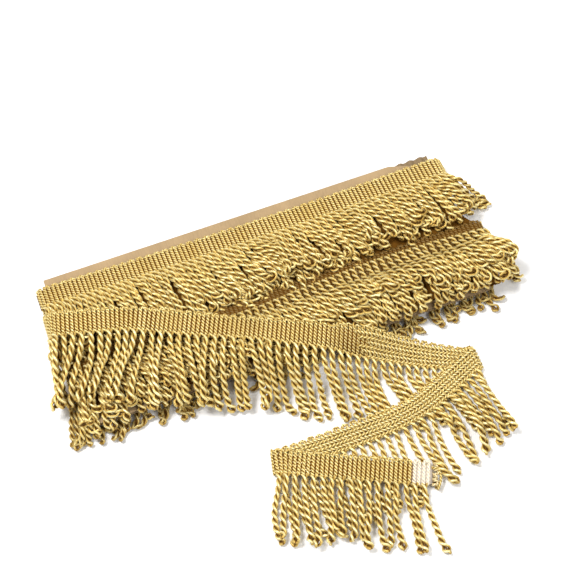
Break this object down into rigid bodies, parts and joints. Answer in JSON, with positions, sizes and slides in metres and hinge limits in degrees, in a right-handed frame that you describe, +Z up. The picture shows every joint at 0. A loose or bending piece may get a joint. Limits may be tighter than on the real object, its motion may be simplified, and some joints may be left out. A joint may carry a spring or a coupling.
{
  "type": "tassel fringe trim",
  "caption": "Knitted bullion fringe trim with twisted looped strands, wound flat on a kraft card, its loose end drawn over the front and folded back on the table.",
  "frame": {"origin": "on the table, under the middle of the whole part's box", "axes": "+X along the card, towards the end where the strands fan out; +Y across the card, away from the loose end; +Z up"},
  "size_m": [0.3152, 0.254, 0.0299],
  "materials": {
    "kraft_card": "matt kraft corrugated card",
    "gold_yarn": "shiny twisted gold rayon yarn"
  },
  "bodies": {
    "root": {"card": "kraft_card", "winding": "gold_yarn", "far_top_fringe": "gold_yarn", "near_top_fringe": "gold_yarn", "far_under_fringe": "gold_yarn", "near_under_fringe": "gold_yarn", "loose_header": "gold_yarn", "loose_fringe_a": "gold_yarn", "loose_fringe_b": "gold_yarn", "loose_fringe_c": "gold_yarn"}
  },
  "joints": []
}
